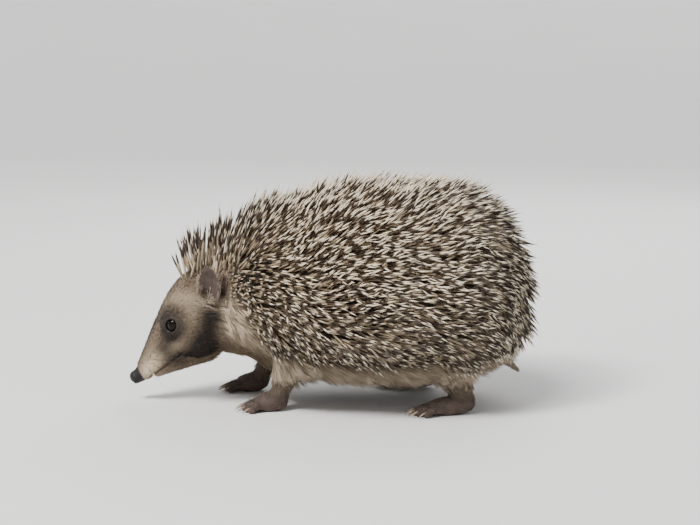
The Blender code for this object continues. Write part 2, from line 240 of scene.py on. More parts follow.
# distance behind the nose tip, half width, height above and depth below the head's line
HEAD = Loft(
    (
        (0.6, 0.0, 0.0, 0.0),
        (3.0, 3.5, 3.4, 3.2),
        (7.0, 4.6, 4.8, 5.0),
        (13.0, 6.3, 7.2, 6.2),
        (20.0, 8.5, 9.9, 7.6),
        (28.0, 11.9, 12.9, 10.2),
        (36.0, 15.5, 15.6, 13.4),
        (44.0, 18.6, 18.0, 16.8),
        (52.0, 21.2, 19.8, 19.8),
        (60.0, 23.0, 20.8, 22.4),
        (72.0, 24.0, 20.2, 23.0),
        (84.0, 0.0, 0.0, 0.0),
    ),
    roundness=2.1,
    soften=1.5,
)
MOUTH_START, MOUTH_END = 8.5, 36.0
EYE = vec(14.2, EYE_BACK, EYE_UP)
EYE_RADIUS = 4.3
EYE_AXIS = unit(vec(0.87, -0.40, 0.28))  # the way the left eye looks
EYE_LEVEL = unit(np.cross(vec(0, 0, 1), EYE_AXIS))
EYE_UPRIGHT = np.cross(EYE_AXIS, EYE_LEVEL)
LID_RADIUS = 5.15
LID_OPENING = (3.9, 3.3)  # half length and half height


def one_side(p):
    """The points with x made positive, as left and right are alike."""
    return np.abs(p) * vec(1, 0, 0) + p * vec(0, 1, 1)


def in_head(p):
    """Points in the head's own terms: out to the left, behind the nose tip and over the head's line."""
    q = p - NOSE_TIP
    return vec(q[:, 0], q @ HEAD_BACK, q @ HEAD_UP)


def from_head(h):
    h = np.atleast_2d(h)
    return NOSE_TIP + h[:, :1] * vec(1, 0, 0) + h[:, 1:2] * HEAD_BACK + h[:, 2:] * HEAD_UP


def mouth_height(behind):
    """The mouth's line drops along the jaw and turns up a little at its corner."""
    t = (behind - MOUTH_START) / (MOUTH_END - MOUTH_START)
    return -4.3 - 4.6 * t + 1.6 * np.maximum(t - 0.75, 0.0) / 0.25


def skull_form(h):
    """The head without its nose, lids and ears. h is on the left side."""
    out, behind, up = h.T
    form = HEAD.distance(behind, out, up)
    form = smooth_min(form, ellipsoid(h, (13.0, 50, -8), (9.5, 14, 11)), 6.0)  # cheek
    form = smooth_min(form, ellipsoid(h, (4.6, 15.5, -2.4), (3.6, 9.0, 3.3)), 3.0)  # whisker pad
    form = smooth_min(form, limb(h, (0, 13.5, -6.4), (0, 42, -15.0), 2.4, 8.0), 1.6)  # jaw
    open_part = np.clip((behind - MOUTH_START) / 2, 0, 1) * np.clip((MOUTH_END - behind) / 3, 0, 1)
    return groove(form, up - mouth_height(behind), 1.5 * open_part, 0.75)


def outside_lids(h):
    """Distance from the almond opening between the lids, and how far in front of the eye's middle."""
    q = h - EYE
    long, high = LID_OPENING
    return np.hypot(q @ EYE_LEVEL * high / long, q @ EYE_UPRIGHT) - high, q @ EYE_AXIS


def lid_form(form, h):
    """Lids round the eye: a low rounded rim, with an opening that the eyeball fills."""
    outside, out = outside_lids(h)
    form = smooth_min(form, size_of(h - EYE) - LID_RADIUS, 3.6)
    return smooth_max(form, -np.maximum(outside, 0.4 - out), 1.0)


def nose_form(form, h):
    """A round bare nose with a groove down its middle and two nostrils that open to the side."""
    out, behind, up = h.T
    form = smooth_min(form, ellipsoid(h, (0, 2.7, 1.2), (3.7, 3.4, 3.7)), 1.5)
    form = smooth_min(form, ellipsoid(h, (2.2, 1.9, 0.1), (1.9, 2.0, 2.1)), 1.4)
    below = np.clip((3.4 - up) / 2, 0, 1) * np.clip((7.5 - behind) / 2, 0, 1)
    form = groove(form, out, 0.7 * below, 0.55)
    form = groove(form, np.hypot(behind - 6.6 - 0.25 * up, 0.2), 0.28, 0.9)
    hole = ellipsoid(h, (2.3, -0.3, 0.5), (0.95, 1.7, 0.9))
    slit = limb(h, (2.8, -0.3, 0.7), (4.6, 2.4, 1.9), 0.55, 0.3)
    return smooth_max(form, -smooth_min(hole, slit, 0.6), 0.6)


# ---- form: ears

EAR_UP = unit(vec(0.42, 0.16, 0.89))
EAR_FACING = vec(0.76, -0.64, -0.12)
EAR_FACING = unit(EAR_FACING - EAR_UP * (EAR_FACING @ EAR_UP))
EAR_ACROSS = np.cross(EAR_UP, EAR_FACING)  # towards the ear's back edge
EAR_HIGH, EAR_WIDE, EAR_CUP, EAR_THICK = 11.4, 8.3, 3.4, 1.5


def in_ear(p):
    """Points in the left ear's own terms: towards its back edge, up and the way it faces."""
    q = p - EAR_MIDDLE
    return vec(q @ EAR_ACROSS, q @ EAR_UP, q @ EAR_FACING)


def ear_form(form, p):
    """A cupped ear with a rolled rim, a fold inside and a dark canal at its root."""
    e = in_ear(p)
    across, up, out = e.T
    rise = np.clip(up / EAR_HIGH, -1.2, 1.2)
    wide = EAR_WIDE * (1.0 - 0.17 * rise - 0.10 * rise**2)
    share = np.hypot((across - rise) / wide, up / EAR_HIGH)  # the tip leans to the back edge
    dish = -EAR_CUP * (1.0 - np.minimum(share, 1.3) ** 2)
    thick = EAR_THICK + 0.7 * np.clip((share - 0.8) / 0.2, 0, 1) + 0.9 * np.clip(-rise - 0.2, 0, 1)
    flap = smooth_max(np.abs(out - dish) - thick / 2, (share - 1.0) * EAR_WIDE, 1.5)
    flap = smooth_min(flap, limb(e, (2.6, -7.5, -1.2), (1.6, 3.2, -3.0), 1.5, 0.7), 1.2)  # fold
    flap = smooth_min(flap, ellipsoid(e, (-4.6, -7.0, 0.2), (2.4, 3.4, 1.8)), 1.5)  # lobe
    canal = ellipsoid(e, (-1.4, -7.6, 0.6), (2.6, 4.2, 3.4))
    return smooth_max(smooth_min(form, flap, 2.4), -canal, 1.2)


# ---- form: limbs and tail

FORE_FOOT = {"sole": (6.6, 9.6, 4.9), "fan": 27.0, "toe": 7.6, "toe_radius": 1.95, "claw": 6.6}
HIND_FOOT = {"sole": (6.2, 14.0, 4.7), "fan": 20.0, "toe": 8.6, "toe_radius": 1.95, "claw": 6.4}
CELL = 0.58  # spacing of the skin's points
SOLE_HEIGHT = 4.4
TOES = 5
LIMBS = {
    # the foot's pattern, the shoulder or hip, the ankle's offset from the sole, both radii, toe-out
    "forefoot_left": (FORE_FOOT, (25, -19, 36), (-0.5, 5.0, 8.5), (9.5, 4.4), 6.0),
    "forefoot_right": (FORE_FOOT, (-25, -25, 36), (0.5, 5.5, 8.5), (9.5, 4.4), -6.0),
    "hindfoot_left": (HIND_FOOT, (32, 62, 38), (-1.0, 9.0, 8.0), (15.0, 4.6), 12.0),
    "hindfoot_right": (HIND_FOOT, (-32, 54, 38), (1.0, 9.0, 8.0), (15.0, 4.6), -12.0),
}
TAIL_ROOT = vec(0, REAR - 22, 34)
TAIL_TIP = vec(0, REAR - 7.6, 18.0)


def foot_axes(toe_out):
    """The foot's own right and forward directions."""
    a = math.radians(toe_out)
    return vec(math.cos(a), math.sin(a), 0), vec(math.sin(a), -math.cos(a), 0)


def toe_line(name, k):
    """Where toe k leaves its foot, and the way it points."""
    foot, _, _, _, toe_out = LIMBS[name]
    right, forward = foot_axes(toe_out)
    share = 2 * k / (TOES - 1) - 1
    wide, long, _ = foot["sole"]
    root = SOLES[name] + forward * long * (0.80 - 0.28 * share**2) + right * share * wide * 0.74
    return root, foot_axes(toe_out + foot["fan"] * share)[1]


def foot_form(name, p):
    foot, _, ankle_offset, (_, ankle_radius), toe_out = LIMBS[name]
    right, forward = foot_axes(toe_out)
    middle = SOLES[name] + vec(0, 0, SOLE_HEIGHT)
    q = p - middle
    form = ellipsoid(vec(q @ right, q @ forward, q[:, 2]), (0, 0, 0), foot["sole"])
    ankle = limb(p, SOLES[name] + ankle_offset, middle + forward * 2, ankle_radius, 3.8)
    form = smooth_min(form, ankle, 4.0)
    toe, thick = foot["toe"], foot["toe_radius"]
    for k in range(TOES):
        root, ahead = toe_line(name, k)
        knuckle = root + ahead * 0.45 * toe + vec(0, 0, 3.5)
        tip = root + ahead * (toe - 0.8) + vec(0, 0, 2.1)
        part = limb(p, root - ahead * 4 + vec(0, 0, 3.4), knuckle, thick, thick)
        part = smooth_min(part, limb(p, knuckle, tip, thick, thick * 0.84), 0.6)
        part = smooth_min(part, ellipsoid(p, tip - vec(0, 0, 0.5) - ahead * 0.6, (2, 2, 1.7)), 0.8)
        form = smooth_min(form, part, 1.0)
    return form


def leg_form(name, p):
    _, hip, ankle_offset, (hip_radius, ankle_radius), _ = LIMBS[name]
    return limb(p, hip, SOLES[name] + ankle_offset, hip_radius, ankle_radius)


def tail_form(p):
    bend = (TAIL_ROOT + TAIL_TIP) / 2 - vec(0, 0, 1.6)
    form = limb(p, TAIL_ROOT, bend, 3.4, 2.4)
    return smooth_min(form, limb(p, bend, TAIL_TIP, 2.4, 1.1), 1.5)


# ---- form: the whole animal

NECK = (from_head(vec(0, 60, -4))[0], vec(0, -36, 60), 22.0, 37.0)


def add_part(form, p, low, high, join):
    """Applies join to the points inside a box, as a part matters only near itself."""
    inside = np.all((p > low) & (p < high), axis=1)
    if inside.any():
        form[inside] = join(form[inside], p[inside])
    return form


def with_head(form, p):
    h = in_head(one_side(p))
    form = smooth_min(form, skull_form(h), 7.0)
    form = add_part(form, h, EYE - 11, EYE + 11, lid_form)
    return add_part(form, h, (-1, -6, -9), (9, 12, 9), nose_form)


def with_ear(form, p):
    return ear_form(form, one_side(p))


def with_leg(name):
    return lambda form, p: smooth_min(form, leg_form(name, p), 7.0)


def with_foot(name):
    return lambda form, p: smooth_min(form, foot_form(name, p), 2.5)


def with_tail(form, p):
    return smooth_min(form, tail_form(p), 4.0)


def body_form(p):
    """How far each point lies outside the skin, in millimetres; less than 0 is inside."""
    form = smooth_min(trunk_form(p), limb(p, *NECK), 12.0)
    form = add_part(form, p, (-60, -130, -5), (60, -25, 130), with_head)
    ear_reach = vec(18, 18, 20)
    for side in (1, -1):
        middle = EAR_MIDDLE * vec(side, 1, 1)
        form = add_part(form, p, middle - ear_reach, middle + ear_reach, with_ear)
    for name, (_, hip, *_) in LIMBS.items():
        sole = SOLES[name]
        low, high = np.minimum(hip, sole), np.maximum(hip, sole)
        form = add_part(form, p, low - 26, high + 26, with_leg(name))
        form = add_part(form, p, sole - vec(30, 40, 10), sole + vec(30, 40, 20), with_foot(name))
    form = add_part(form, p, TAIL_TIP - vec(14, 30, 14), TAIL_TIP + vec(14, 14, 34), with_tail)
    return np.maximum(form, 0.05 - p[:, 2])


def slope_of(form, p, here, step=0.04):
    """The direction in which the form's distance grows, as a vector for each point."""
    return np.stack([(form(p + step * axis) - here) / step for axis in np.eye(3)], axis=1)


# ---- form: a mesh on its surface

CORNERS = np.argwhere(np.ones((2, 2, 2)))
EDGES = np.argwhere(np.triu(np.abs(CORNERS[:, None] - CORNERS).sum(-1) == 1))
# for each axis, the cells round the edge that runs along it from a cell's first corner
AROUND = (
    ((0, 0, 0), (0, -1, 0), (0, -1, -1), (0, 0, -1)),
    ((0, 0, 0), (0, 0, -1), (-1, 0, -1), (-1, 0, 0)),
    ((0, 0, 0), (-1, 0, 0), (-1, -1, 0), (0, -1, 0)),
)
BLOCKS_AT_ONCE = 250


def mesh_form(form, low, high, cell, block=12):
    """Points and four-sided faces over the surface where the form is 0, about one cell apart."""
    blocks = np.ceil(np.subtract(high, low) / (cell * block)).astype(int)
    places = np.argwhere(np.ones(blocks))
    middles = low + (places + 0.5) * cell * block
    reach = cell * block / 2 * math.sqrt(3) * 1.6
    # the rump's end is steep, so its distances run high
    slack = 2.5 + 22.0 * ramp(82, 92, middles[:, 1])
    places = places[np.abs(form(middles)) < reach + slack]
    grid = np.argwhere(np.ones((block + 1,) * 3))
    found, points, signs = [], [], []
    for part in np.array_split(places, max(1, len(places) // BLOCKS_AT_ONCE)):
        first = part[:, None] * block + grid
        values = form(low + first.reshape(-1, 3) * cell).reshape(len(part), *(block + 1,) * 3)
        corner = np.stack(
            [values[:, i : i + block, j : j + block, k : k + block] for i, j, k in CORNERS], -1
        )
        inside = (corner < 0).sum(-1)
        hit = np.nonzero((inside > 0) & (inside < 8))
        corner = corner[hit]
        cells = part[hit[0]] * block + np.stack(hit[1:], 1)
        total, count = np.zeros((len(cells), 3)), np.zeros(len(cells))
        for a, b in EDGES:
            crossed = (corner[:, a] < 0) != (corner[:, b] < 0)
            t = np.where(crossed, corner[:, a] / np.where(crossed, corner[:, a] - corner[:, b], 1), 0)
            total += (CORNERS[a] + t[:, None] * (CORNERS[b] - CORNERS[a])) * crossed[:, None]
            count += crossed
        found.append(cells)
        points.append(low + (cells + total / count[:, None]) * cell)
        signs.append(corner[:, [0, 4, 2, 1]] < 0)
    cells, points, signs = map(np.concatenate, (found, points, signs))
    size = blocks * block + 2
    numbering = size[1] * size[2], size[2], 1
    keys = cells @ numbering
    order = np.argsort(keys)
    faces = []
    for axis, around in enumerate(AROUND):
        crossed = signs[:, 0] != signs[:, axis + 1]
        wanted = (cells[crossed][:, None] + around) @ numbering
        index = order[np.clip(np.searchsorted(keys[order], wanted), 0, len(keys) - 1)]
        whole = (keys[index] == wanted).all(1)
        index, outward = index[whole], signs[crossed, 0][whole]
        index[~outward] = index[~outward][:, ::-1]
        faces.append(index)
    faces = np.concatenate(faces)
    start, end = faces.ravel(), np.roll(faces, -1, axis=1).ravel()
    neighbours = np.maximum(np.bincount(start, minlength=len(points)), 1)[:, None]
    for turn in range(4):
        if turn in (1, 2):
            mean = np.stack([np.bincount(start, points[end, i], len(points)) for i in range(3)], 1)
            points = points * 0.4 + mean / neighbours * 0.6
        here = form(points)
        slope = slope_of(form, points, here)
        step = slope * (here / np.maximum((slope**2).sum(1), 0.05))[:, None]
        points -= step * np.minimum(1.0, 0.5 * cell / np.maximum(size_of(step), 1e-9))[:, None]
    return points, faces


# ---- meshes


def build_mesh(name, points, faces, corner_uv=None, **marks):
    """A smooth mesh in metres. faces is a list of index arrays, marks are numbers for each point."""
    mesh = bpy.data.meshes.new(name)
    mesh.vertices.add(len(points))
    mesh.vertices.foreach_set("co", (np.asarray(points) * MM).astype(np.float32).ravel())
    corners = np.concatenate([f.ravel() for f in faces]).astype(np.int32)
    sizes = np.concatenate([np.full(len(f), f.shape[1]) for f in faces])
    mesh.loops.add(len(corners))
    mesh.loops.foreach_set("vertex_index", corners)
    mesh.polygons.add(len(sizes))
    starts = np.concatenate([[0], np.cumsum(sizes)[:-1]]).astype(np.int32)
    mesh.polygons.foreach_set("loop_start", starts)
    mesh.update(calc_edges=True)
    if corner_uv is not None:
        layer = mesh.uv_layers.new(name="OFBake")
        layer.data.foreach_set("uv", np.asarray(corner_uv, np.float32).ravel())
    return show(name, finished(mesh, **marks))


def finished(mesh, **marks):
    """The mesh, smooth and with its marks stored for the materials."""
    for mark, values in marks.items():
        store = mesh.attributes.new(mark, "FLOAT", "POINT")
        store.data.foreach_set("value", np.asarray(values, np.float32))
    mesh.shade_smooth()
    return mesh


def show(name, data, place=(0, 0, 0), way=None):
    """Puts a mesh, a lamp or a camera in the scene. way is the direction that it looks in."""
    shown = bpy.data.objects.new(name, data)
    shown.location = place
    if way is not None:
        shown.rotation_euler = Vector(way).to_track_quat("-Z", "Y").to_euler()
    bpy.context.scene.collection.objects.link(shown)
    return shown


def bands(rings, sides):
    """The columns and rows of the corners of the four-sided faces between rings of points."""
    row, column = np.divmod(np.arange((rings - 1) * sides)[:, None], sides)
    return column + (0, 0, 1, 1), row + (0, 1, 1, 0)


def band_faces(rings, sides):
    columns, rows = bands(rings, sides)
    return rows * sides + columns % sides


def points_of(mesh):
    flat = np.empty(len(mesh.vertices) * 3, np.float32)
    mesh.vertices.foreach_get("co", flat)
    return flat.reshape(-1, 3).astype(float) / MM


# ---- markings of skin and coat, and painted shade under the jaw


def beside(h, start, end, reach):
    """1 on the line from start to end, fading to 0 with distance."""
    return np.exp(-((np.maximum(limb(h, start, end, 0, 0), 0.0) / reach) ** 2))


def markings_and_shade(p):
    """How dark and how pale the coat is at each place: a mask round the eye, a dark bridge, and painted
    shade under the jaw and up behind the cheek.
    """
    left = one_side(p)
    h, (_, y, z) = in_head(left), p.T
    face = ramp(84, 66, h[:, 1]) * ramp(30, 22, h[:, 2])
    bridge = beside(h, (0, 2, 5), (0, 36, 15), 5.0) + beside(h, (0, 36, 15), (0, 60, 21), 8.0)
    mask = 0.9 * ramp(13.0, 6.0, size_of(h - EYE))
    mask = mask + 0.7 * beside(h, EYE - vec(3, 15, 5), EYE - vec(0, 4, 1), 5.0)
    # painted shade: dark under the jaw and up behind the cheek, where the head shades itself
    painted_jaw_shade = beside(h, (9, 26, -9), (19, 46, -13), 6.0) + beside(h, (19, 46, -13), (24, 62, -3), 6.0)
    dark = face * np.clip(0.95 * np.minimum(bridge, 1) + mask + 1.1 * painted_jaw_shade, 0, 1)
    cheek = beside(h, (6, 13, -1), (15, 34, -2), 6.0) + 0.8 * beside(h, (18, 52, 2), (23, 62, 6), 5.0)
    brow = beside(h, (9, 48, 15), (20, 60, 13), 5.0)
    ruff = beside(left, (30, -60, 56), (38, -42, 32), 11.0)
    ear = bare_ear(left)
    rim = ramp(0.8, 0.95, rim_share(in_ear(left))) * ear
    skirt = ramp(40, 30, z) * ramp(14, 20, z) * ramp(-45, -35, y) * 0.35
    pale = np.clip(face * (cheek + 0.9 * brow) + 0.9 * ruff + skirt, 0, 1) * (1 - 0.85 * dark)
    pale = np.maximum(pale, 0.6 * rim)
    dark = np.maximum(dark, 0.75 * ear * (1 - rim))
    limbs = ramp(27, 7, z) * ramp(-75, -65, y)
    return np.clip(dark + 0.75 * limbs, 0, 1), pale * (1 - limbs)


def rim_share(e):
    """0 at the ear's middle and 1 on its rim."""
    return np.hypot(e[:, 0] / EAR_WIDE, e[:, 1] / EAR_HIGH)


def bare_ear(left):
    e = in_ear(left)
    return ramp(1.3, 1.15, size_of(e / vec(EAR_WIDE, EAR_HIGH, 9))) * ramp(-9.5, -7.0, e[:, 1])


def bare_parts(p):
    """Where the skin shows: the nose, the lids, inside the ears and on the feet."""
    left = one_side(p)
    h = in_head(left)
    nose = ramp(7.6, 6.2, h[:, 1] - 0.25 * h[:, 2])
    outside, out = outside_lids(h)
    lids = ramp(1.1, 0.5, outside) * ramp(-1, 1, out) * ramp(9, 8, size_of(h - EYE))
    feet = ramp(11.5, 7.5, p[:, 2]) * ramp(-76, -72, p[:, 1])
    return nose, lids, bare_ear(left), feet


# ---- the lie of the coat

# the spiny coat's lower edge in side view: y and height
SPINE_EDGE = (
    (-104, 66), (-92, 69.5), (-86, 71), (-80, 71), (-71, 76), (-62, 74), (-55, 62),
    (-48, 49), (-38, 41), (-20, 35), (5, 32), (40, 31), (80, 32), (130, 36),
)  # fmt: skip


def above_edge(p):
    y, z = np.array(SPINE_EDGE, float).T
    return p[:, 2] - np.interp(p[:, 1], y, z)


def along_skin(direction, normal):
    """The direction turned into the skin's plane."""
    return unit(direction - normal * (direction * normal).sum(1, keepdims=True))


def drift(p, size, seed):
    """A slow, smooth change from place to place, about -1 to 1."""
    rng = default_rng(seed)
    total = np.zeros(len(p))
    for _ in range(5):
        wave = unit(rng.normal(size=3)) * math.tau / (size * rng.uniform(0.7, 1.5))
        total += np.sin(p @ wave + rng.uniform(0, math.tau))
    return total / 2.5


def ear_gap(p):
    """Distance from the middle of the nearer ear."""
    return size_of(one_side(p) - EAR_MIDDLE)


def eye_gap(p):
    return size_of(in_head(one_side(p)) - EYE)


def turned(direction, normal, angle):
    """The direction turned about the normal by an angle for each row."""
    c, s = np.cos(angle)[:, None], np.sin(angle)[:, None]
    return direction * c + np.cross(normal, direction) * s


def mirror(side):
    """Factors that carry the left side's directions to each side."""
    return vec(side, 1, 1)


def cell_numbers(p, size, rng):
    """A number for the cell that each point is in, on a grid that is shifted at random."""
    most = 4000  # more cells than lie in a row
    cells = np.floor(p / size + rng.random(3)).astype(np.int64)
    return (cells + most // 4) @ (1, most, most**2)


# ---- strands: spines, hairs and whiskers


class Skin:
    """The skin's triangles, on which the coat is rooted."""

    def __init__(self, points, faces):
        self.corners = points[np.concatenate([faces[:, [0, 1, 2]], faces[:, [0, 2, 3]]])]
        a, b, c = self.corners.swapaxes(0, 1)
        self.area = size_of(np.cross(b - a, c - a)) / 2
        self.middle = (a + b + c) / 3

    def scatter(self, wanted, spacing, seed):
        """Evenly spread roots and their normals, where wanted(points) is above a random level."""
        rng = default_rng(seed)
        use = np.nonzero(wanted(self.middle) > 0)[0]
        area = self.area[use]
        count = int(4 * area.sum() / spacing**2)
        pick = use[rng.choice(len(use), count, p=area / area.sum())]
        a, b, c = self.corners[pick].swapaxes(0, 1)
        r, s = np.sqrt(rng.random(count))[:, None], rng.random(count)[:, None]
        p = a * (1 - r) + b * r * (1 - s) + c * r * s
        _, first = np.unique(cell_numbers(p, spacing, rng), return_index=True)
        p = p[np.sort(first)]
        p = p[wanted(p) > rng.random(len(p))]
        return p, unit(slope_of(body_form, p, body_form(p)))


def settled(p, times, reach):
    """Points moved onto the skin in a few steps no longer than reach, and their normals."""
    for _ in range(times):
        here = body_form(p)
        normal = unit(slope_of(body_form, p, here))
        p = p - normal * np.clip(here, -reach, reach)[:, None]
    return p, normal


def strand_paths(root, normal, lie, lean, length, bend, steps, sink=0.6):
    """Points along each strand. lean is its angle from the normal at the root, and bend adds to it."""
    share = np.arange(steps + 1) / steps
    paths = [root - normal * sink]
    for j in range(steps):
        angle = (lean + bend * share[j])[:, None]
        step = (length / steps)[:, None]
        paths.append(paths[-1] + step * (normal * np.cos(angle) + lie * np.sin(angle)))
    return np.stack(paths, axis=1)


def gathered(paths, spacing, strength, seed):
    """Draws the strands together towards the tips of a few, so that they form locks."""
    numbers = cell_numbers(paths[:, 0], spacing, default_rng(seed))
    _, leader, group = np.unique(numbers, return_index=True, return_inverse=True)
    lead = paths[leader[group.ravel()]]
    pull = strength * (np.arange(paths.shape[1]) / (paths.shape[1] - 1)) ** 1.4
    return paths * (1 - pull[None, :, None]) + lead * pull[None, :, None]


def kept_out(paths, normal, room=0.25):
    """Lifts what would run under the skin."""
    depth = room - body_form(paths[:, 1:].reshape(-1, 3)).reshape(len(paths), -1, 1)
    paths[:, 1:] += np.clip(depth, 0, 4.0) * normal[:, None]
    return paths


ASIDE = vec(0.31, 0.17, 0.93)  # no strand runs quite this way
PATCH = 0.003  # how far the map of one strand reaches


def strand_piece(name, paths, profile, thickness, sides, place_uv, **marks):
    """One closed, pointed tube along each path. Its radii are a profile of shares of its thickness."""
    count, rings = len(paths), paths.shape[1] - 1
    ahead = unit(np.gradient(paths, axis=1))
    across = unit(np.cross(ahead, ASIDE))
    over = np.cross(across, ahead)
    k = np.arange(sides)[:, None]
    turn = math.tau * k / sides
    ring = across[:, :rings, None] * np.cos(turn) + over[:, :rings, None] * np.sin(turn)
    tubes = paths[:, :rings, None] + ring * np.multiply.outer(thickness, profile)[..., None, None]
    points = np.concatenate([tubes.reshape(count, -1, 3), paths[:, -1:]], axis=1)
    tip = rings * sides
    first = np.arange(count)[:, None, None] * (tip + 1)
    centre = place_uv(paths[:, 0])[:, None, :]
    size = vec(PATCH / sides, PATCH / rings)
    cone = k + (0, 0.5, 1), 0 * k + (rings - 1, rings, rings - 1)
    faces, uv = [], []
    for columns, rows in (bands(rings, sides), cone, (k.T, 0 * k.T)):
        index = np.minimum(rows * sides + columns % sides, tip).astype(int)
        faces.append((first + index).reshape(-1, index.shape[1]))
        flat = np.stack([columns, rows], -1).reshape(-1, 2)
        uv.append((centre + flat * size - PATCH / 2).reshape(-1, 2))
    along = np.concatenate([np.repeat(np.arange(rings), sides), [rings]]) / rings
    dark, pale = markings_and_shade(paths[:, 0])
    marks = {"dark": dark, "pale": pale, **marks}
    marks = {mark: np.repeat(values, tip + 1) for mark, values in marks.items()}
    along = np.tile(along, count)
    return build_mesh(name, points.reshape(-1, 3), faces, np.concatenate(uv), along=along, **marks)


def around_line(x, y):
    """How far round a line each point lies, from 0 to 1."""
    return np.arctan2(x, y) / math.tau + 0.5


def body_uv(p):
    """The skin unrolled about the trunk's line."""
    around = around_line(p[:, 0], p[:, 2] - TRUNK_LEVEL)
    return vec(0.01 + 0.98 * around, 0.01 + 0.98 * (p[:, 1] + 125) / 250)


def face_uv(p):
    """The head unrolled about its own line."""
    out, behind, up = in_head(p).T
    return vec(0.01 + 0.98 * around_line(out, up), 0.01 + 0.98 * np.clip(behind / 110, 0, 1))


def limb_uv(p):
    """Each limb unrolled about a line through its foot, in a quarter of the map."""
    places = np.array(list(SOLES.values()))
    nearest = size_of(p[:, None, :2] - places[None, :, :2]).argmin(1)
    x, y, z = (p - places[nearest]).T
    out = np.clip((np.hypot(x, y) + z) / 90, 0, 1)
    corner = vec(nearest % 2, nearest // 2) * 0.5
    return corner + vec(0.01 + 0.47 * around_line(x, y), 0.01 + 0.47 * out)


# ---- materials


def link(tree, source, target):
    tree.links.new(source, target)


def feed(tree, socket, value):
    """Gives a socket its value: another socket, a number or a colour."""
    if isinstance(value, bpy.types.NodeSocket):
        link(tree, value, socket)
    else:
        socket.default_value = (*value, 1.0) if isinstance(value, tuple) else value


def blend_colour(tree, share, first, second):
    node = tree.nodes.new("ShaderNodeMix")
    node.data_type = "RGBA"
    for k, value in ((0, share), (6, first), (7, second)):
        feed(tree, node.inputs[k], value)
    return node.outputs[2]


def step_between(tree, low, high, value):
    """0 below low and 1 above high, smoothly."""
    node = tree.nodes.new("ShaderNodeMapRange")
    node.interpolation_type = "SMOOTHSTEP"
    feed(tree, node.inputs["Value"], value)
    feed(tree, node.inputs["From Min"], low)
    feed(tree, node.inputs["From Max"], high)
    return node.outputs["Result"]


def calculate(tree, operation, *values):
    node = tree.nodes.new("ShaderNodeMath")
    node.operation = operation
    for socket, value in zip(node.inputs, values):
        feed(tree, socket, value)
    return node.outputs[0]


def mark(tree, name):
    node = tree.nodes.new("ShaderNodeAttribute")
    node.attribute_name = name
    return node.outputs["Fac"]


def noise(tree, scale, detail):
    node = tree.nodes.new("ShaderNodeTexNoise")
    feed(tree, node.inputs["Scale"], scale)
    node.inputs["Detail"].default_value = detail
    link(tree, tree.nodes.new("ShaderNodeTexCoord").outputs["Object"], node.inputs["Vector"])
    return node.outputs["Fac"]


def relief(tree, pores, creases, pore_share):
    """Fine pores and creases as a height, from the scales of both."""
    node = tree.nodes.new("ShaderNodeMix")
    for k, value in ((0, pore_share), (2, noise(tree, creases, 4.0)), (3, noise(tree, pores, 2.0))):
        feed(tree, node.inputs[k], value)
    return node.outputs[0]


def new_material(name, roughness, **settings):
    """A material with its shader, whose plain numbers are set on the shader itself."""
    material = bpy.data.materials.new(name)
    material.use_nodes = True
    tree = material.node_tree
    shader = tree.nodes["Principled BSDF"]
    shader.inputs["Roughness"].default_value = roughness
    for label, value in settings.items():
        shader.inputs[label.replace("_", " ").title().replace("Ior", "IOR")].default_value = value
    return material, tree, shader


def bump(tree, shader, height, distance):
    node = tree.nodes.new("ShaderNodeBump")
    node.inputs["Distance"].default_value = distance
    link(tree, height, node.inputs["Height"])
    link(tree, node.outputs["Normal"], shader.inputs["Normal"])


def painted(material, colour):
    """The material with this socket as its colour."""
    tree = material.node_tree
    link(tree, colour, tree.nodes["Principled BSDF"].inputs["Base Color"])
    return material


# the colour of the dark markings, which also paints the shade under the jaw
DARK_COAT = (0.030, 0.020, 0.014)
PALE_COAT = (0.55, 0.44, 0.315)


def under_markings_and_shade(tree, colour):
    """The colour with the coat's pale and dark markings laid over it, and the painted shade under the
    jaw.
    """
    colour = blend_colour(tree, mark(tree, "pale"), colour, PALE_COAT)
    return blend_colour(tree, mark(tree, "dark"), colour, DARK_COAT)


def strand_material(name, colours, starts, softness, variety, roughness, marked=True, **settings):
    """Colours from root to tip, each from its start, and lighter or darker from strand to strand by the
    tint, which on the spines also carries a painted highlight.
    """
    material, tree, _ = new_material(name, roughness, **settings)
    # the tint moves the colour bands and sets the brightness; on the spines it also carries the painted
    # highlight of the upper flank
    tint = mark(tree, "tint")
    shift = calculate(tree, "MULTIPLY_ADD", tint, 0.18, -0.09)
    along = calculate(tree, "ADD", mark(tree, "along"), shift)
    colour, *later = colours
    for start, after in zip(starts, later):
        colour = blend_colour(tree, step_between(tree, start, start + softness, along), colour, after)
    scale = tree.nodes.new("ShaderNodeVectorMath")
    scale.operation = "SCALE"
    link(tree, colour, scale.inputs[0])
    light = calculate(tree, "MULTIPLY_ADD", tint, variety, 1 - variety / 2)
    link(tree, light, scale.inputs["Scale"])
    colour = scale.outputs[0]
    return painted(material, under_markings_and_shade(tree, colour) if marked else colour)


